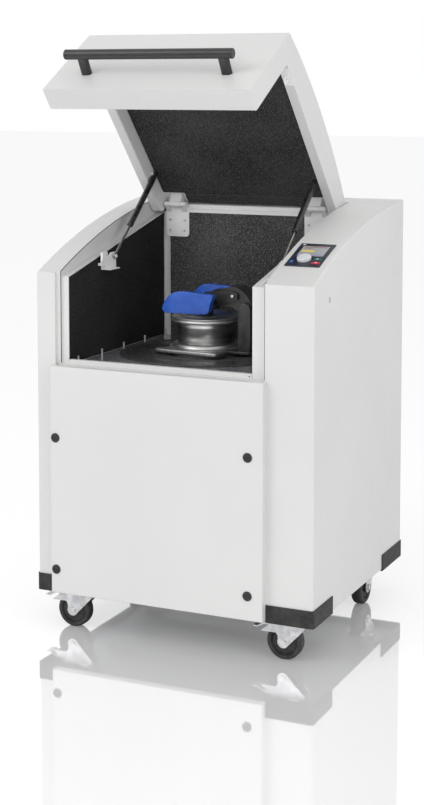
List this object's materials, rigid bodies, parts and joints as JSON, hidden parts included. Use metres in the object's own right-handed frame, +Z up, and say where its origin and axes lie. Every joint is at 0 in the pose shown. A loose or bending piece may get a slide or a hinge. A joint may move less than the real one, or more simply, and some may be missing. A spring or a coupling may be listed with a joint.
{
  "type": "vibratory disc mill",
  "caption": "Free-standing vibratory disc mill with a hinged sound-proof lid on gas struts, clamped jar and casters.",
  "frame": {"origin": "middle of the whole part's box with the lid open, on the floor", "axes": "+X to the machine's right as its user faces it, +Y to its back, +Z up"},
  "size_m": [0.836, 0.8342, 1.6706],
  "materials": {
    "white_paint": "smooth powder coat, satin",
    "grey_paint": "smooth paint, satin",
    "zinc": "bright zinc",
    "steel": "turned and polished",
    "cast": "black cast, satin",
    "black_rubber": "matte",
    "black_plastic": "fine grain",
    "foam": "fine textured sound foam",
    "dark_floor": "gloss",
    "blue_plastic": "satin moulded",
    "silver_plastic": "satin",
    "display": "gloss window",
    "navy_key": "satin",
    "green_key": "satin",
    "red_key": "satin"
  },
  "bodies": {
    "cabinet": {"base_frame": "white_paint", "corner_bumpers": "black_rubber", "left_housing": "white_paint", "right_housing": "white_paint", "control_bezel": "black_plastic", "display_window": "display", "edge_seals": "black_rubber", "rear_panel": "white_paint", "mains_inlet": "black_plastic", "chamber_walls": "white_paint", "chamber_foams": "foam", "lid_lock": "zinc", "rear_bulkhead": "white_paint", "rear_deck": "white_paint", "chamber_floor": "dark_floor", "floor_seal": "black_rubber", "floor_studs": "silver_plastic", "front_rail": "white_paint", "hinge_and_strut_brackets": "white_paint", "drive_frame": "grey_paint"},
    "cover": {"front_cover": "white_paint"},
    "lid": {"lid_shell": "white_paint", "lid_liner": "white_paint", "foam_lid": "foam", "lid_handle": "black_plastic", "striker_plate": "zinc"},
    "mounts_body": {"vibration_mounts": "black_rubber"},
    "platform": {"drive_plate": "grey_paint", "motor": "grey_paint", "carrier_plate": "steel", "grinding_jar": "steel", "jar_lid": "steel"},
    "rotor": {"motor_rotor": "zinc"},
    "ring": {"grinding_ring": "steel"},
    "puck": {"grinding_puck": "steel"},
    "clamp": {"clamp_arm": "cast"},
    "lever": {"clamp_levers": "cast", "clamp_grips": "blue_plastic"},
    "knob": {"menu_knob": "silver_plastic"},
    "menu_button_body": {"menu_button": "navy_key"},
    "start_button_body": {"start_button": "green_key"},
    "stop_button_body": {"stop_button": "red_key"},
    "lock_1": {"cover_lock_1": "black_plastic"},
    "lock_2": {"cover_lock_2": "black_plastic"},
    "lock_3": {"cover_lock_3": "black_plastic"},
    "lock_4": {"cover_lock_4": "black_plastic"},
    "rod_left": {"strut_rod_left": "zinc"},
    "barrel_left": {"strut_barrel_left": "black_plastic"},
    "rod_right": {"strut_rod_right": "zinc"},
    "barrel_right": {"strut_barrel_right": "black_plastic"},
    "fork_front_left": {"caster_fork_front_left": "zinc"},
    "wheel_front_left": {"caster_wheel_front_left": "black_rubber"},
    "pedal_front_left": {"brake_pedal_front_left": "zinc"},
    "fork_front_right": {"caster_fork_front_right": "zinc"},
    "wheel_front_right": {"caster_wheel_front_right": "black_rubber"},
    "pedal_front_right": {"brake_pedal_front_right": "zinc"},
    "fork_rear_left": {"caster_fork_rear_left": "zinc"},
    "wheel_rear_left": {"caster_wheel_rear_left": "black_rubber"},
    "fork_rear_right": {"caster_fork_rear_right": "zinc"},
    "wheel_rear_right": {"caster_wheel_rear_right": "black_rubber"}
  },
  "joints": [
    {"name": "lid_hinge", "type": "hinge", "parent": "cabinet", "child": "lid", "pos_m": [0, 0.2591, 1.166], "axis": [1, 0, 0], "range_deg": [0, 60]},
    {"name": "strut_pivot_left", "type": "hinge", "parent": "cabinet", "child": "rod_left", "pos_m": [-0.2965, -0.0829, 1.038], "axis": [1, 0, 0], "range_deg": [-14.12, 0]},
    {"name": "strut_slide_left", "type": "slide", "parent": "rod_left", "child": "barrel_left", "axis": [0, 0.7637, 0.6456], "range_m": [-0.1015, 0]},
    {"name": "strut_pivot_right", "type": "hinge", "parent": "cabinet", "child": "rod_right", "pos_m": [0.224, -0.0829, 1.038], "axis": [1, 0, 0], "range_deg": [-14.12, 0]},
    {"name": "strut_slide_right", "type": "slide", "parent": "rod_right", "child": "barrel_right", "axis": [0, 0.7637, 0.6456], "range_m": [-0.1015, 0]},
    {"name": "cover_slide", "type": "slide", "parent": "cabinet", "child": "cover", "axis": [0, -1, 0], "range_m": [0, 0.15]},
    {"name": "cover_lock_turn_1", "type": "hinge", "parent": "cover", "child": "lock_1", "pos_m": [-0.344, -0.3509, 0.553], "axis": [0, 1, 0], "range_deg": [0, 90]},
    {"name": "cover_lock_turn_2", "type": "hinge", "parent": "cover", "child": "lock_2", "pos_m": [-0.344, -0.3509, 0.179], "axis": [0, 1, 0], "range_deg": [0, 90]},
    {"name": "cover_lock_turn_3", "type": "hinge", "parent": "cover", "child": "lock_3", "pos_m": [0.238, -0.3509, 0.553], "axis": [0, 1, 0], "range_deg": [0, 90]},
    {"name": "cover_lock_turn_4", "type": "hinge", "parent": "cover", "child": "lock_4", "pos_m": [0.238, -0.3509, 0.179], "axis": [0, 1, 0], "range_deg": [0, 90]},
    {"name": "menu_knob_turn", "type": "hinge", "parent": "cabinet", "child": "knob", "pos_m": [0.3351, -0.19689, 1.07129], "axis": [0, -0.3368, 0.9416], "continuous": true},
    {"name": "menu_button_press", "type": "slide", "parent": "cabinet", "child": "menu_button_body", "axis": [0, 0.3368, -0.9416], "range_m": [0, 0.001], "stiffness_N_per_m": 800},
    {"name": "start_button_press", "type": "slide", "parent": "cabinet", "child": "start_button_body", "axis": [0, 0.3368, -0.9416], "range_m": [0, 0.001], "stiffness_N_per_m": 800},
    {"name": "stop_button_press", "type": "slide", "parent": "cabinet", "child": "stop_button_body", "axis": [0, 0.3368, -0.9416], "range_m": [0, 0.001], "stiffness_N_per_m": 800},
    {"name": "mount_shear_x", "type": "slide", "parent": "cabinet", "child": "mounts_body", "axis": [1, 0, 0], "range_m": [-0.004, 0.004], "stiffness_N_per_m": 120000},
    {"name": "mount_shear_y", "type": "slide", "parent": "mounts_body", "child": "platform", "axis": [0, 1, 0], "range_m": [-0.004, 0.004], "stiffness_N_per_m": 120000},
    {"name": "rotor_spin", "type": "hinge", "parent": "platform", "child": "rotor", "pos_m": [-0.058, 0.0341, 0.395], "axis": [0, 0, 1], "continuous": true},
    {"name": "ring_roll", "type": "slide", "parent": "platform", "child": "ring", "axis": [1, 0, 0], "range_m": [-0.008, 0.008]},
    {"name": "puck_roll", "type": "slide", "parent": "ring", "child": "puck", "axis": [1, 0, 0], "range_m": [-0.008, 0.008]},
    {"name": "clamp_swing", "type": "hinge", "parent": "platform", "child": "clamp", "pos_m": [0.084, 0.0341, 0.892], "axis": [0, -1, 0], "range_deg": [-70, 0]},
    {"name": "lever_swing", "type": "hinge", "parent": "clamp", "child": "lever", "pos_m": [0.044, 0.0341, 0.93], "axis": [0, -1, 0], "range_deg": [-50, 0]},
    {"name": "swivel_front_left", "type": "hinge", "parent": "cabinet", "child": "fork_front_left", "pos_m": [-0.288, -0.2809, 0.118], "axis": [0, 0, 1], "continuous": true},
    {"name": "roll_front_left", "type": "hinge", "parent": "fork_front_left", "child": "wheel_front_left", "pos_m": [-0.321, -0.2809, 0.05], "axis": [0, 1, 0], "continuous": true},
    {"name": "brake_front_left", "type": "hinge", "parent": "fork_front_left", "child": "pedal_front_left", "pos_m": [-0.353, -0.2809, 0.096], "axis": [0, -1, 0], "range_deg": [0, 10]},
    {"name": "swivel_front_right", "type": "hinge", "parent": "cabinet", "child": "fork_front_right", "pos_m": [0.354, -0.2809, 0.118], "axis": [0, 0, 1], "continuous": true},
    {"name": "roll_front_right", "type": "hinge", "parent": "fork_front_right", "child": "wheel_front_right", "pos_m": [0.321, -0.2809, 0.05], "axis": [0, 1, 0], "continuous": true},
    {"name": "brake_front_right", "type": "hinge", "parent": "fork_front_right", "child": "pedal_front_right", "pos_m": [0.289, -0.2809, 0.096], "axis": [0, -1, 0], "range_deg": [0, 10]},
    {"name": "swivel_rear_left", "type": "hinge", "parent": "cabinet", "child": "fork_rear_left", "pos_m": [-0.35, 0.2771, 0.118], "axis": [0, 0, 1], "continuous": true},
    {"name": "roll_rear_left", "type": "hinge", "parent": "fork_rear_left", "child": "wheel_rear_left", "pos_m": [-0.35, 0.2441, 0.05], "axis": [-1, 0, 0], "continuous": true},
    {"name": "swivel_rear_right", "type": "hinge", "parent": "cabinet", "child": "fork_rear_right", "pos_m": [0.35, 0.2771, 0.118], "axis": [0, 0, 1], "continuous": true},
    {"name": "roll_rear_right", "type": "hinge", "parent": "fork_rear_right", "child": "wheel_rear_right", "pos_m": [0.35, 0.2441, 0.05], "axis": [-1, 0, 0], "continuous": true}
  ],
  "couplings": [
    {"joint": "strut_pivot_left", "follows": "lid_hinge", "ratio": -0.23037},
    {"joint": "strut_slide_left", "follows": "lid_hinge", "m_per_rad": -0.09645},
    {"joint": "strut_pivot_right", "follows": "lid_hinge", "ratio": -0.23037},
    {"joint": "strut_slide_right", "follows": "lid_hinge", "m_per_rad": -0.09645}
  ]
}
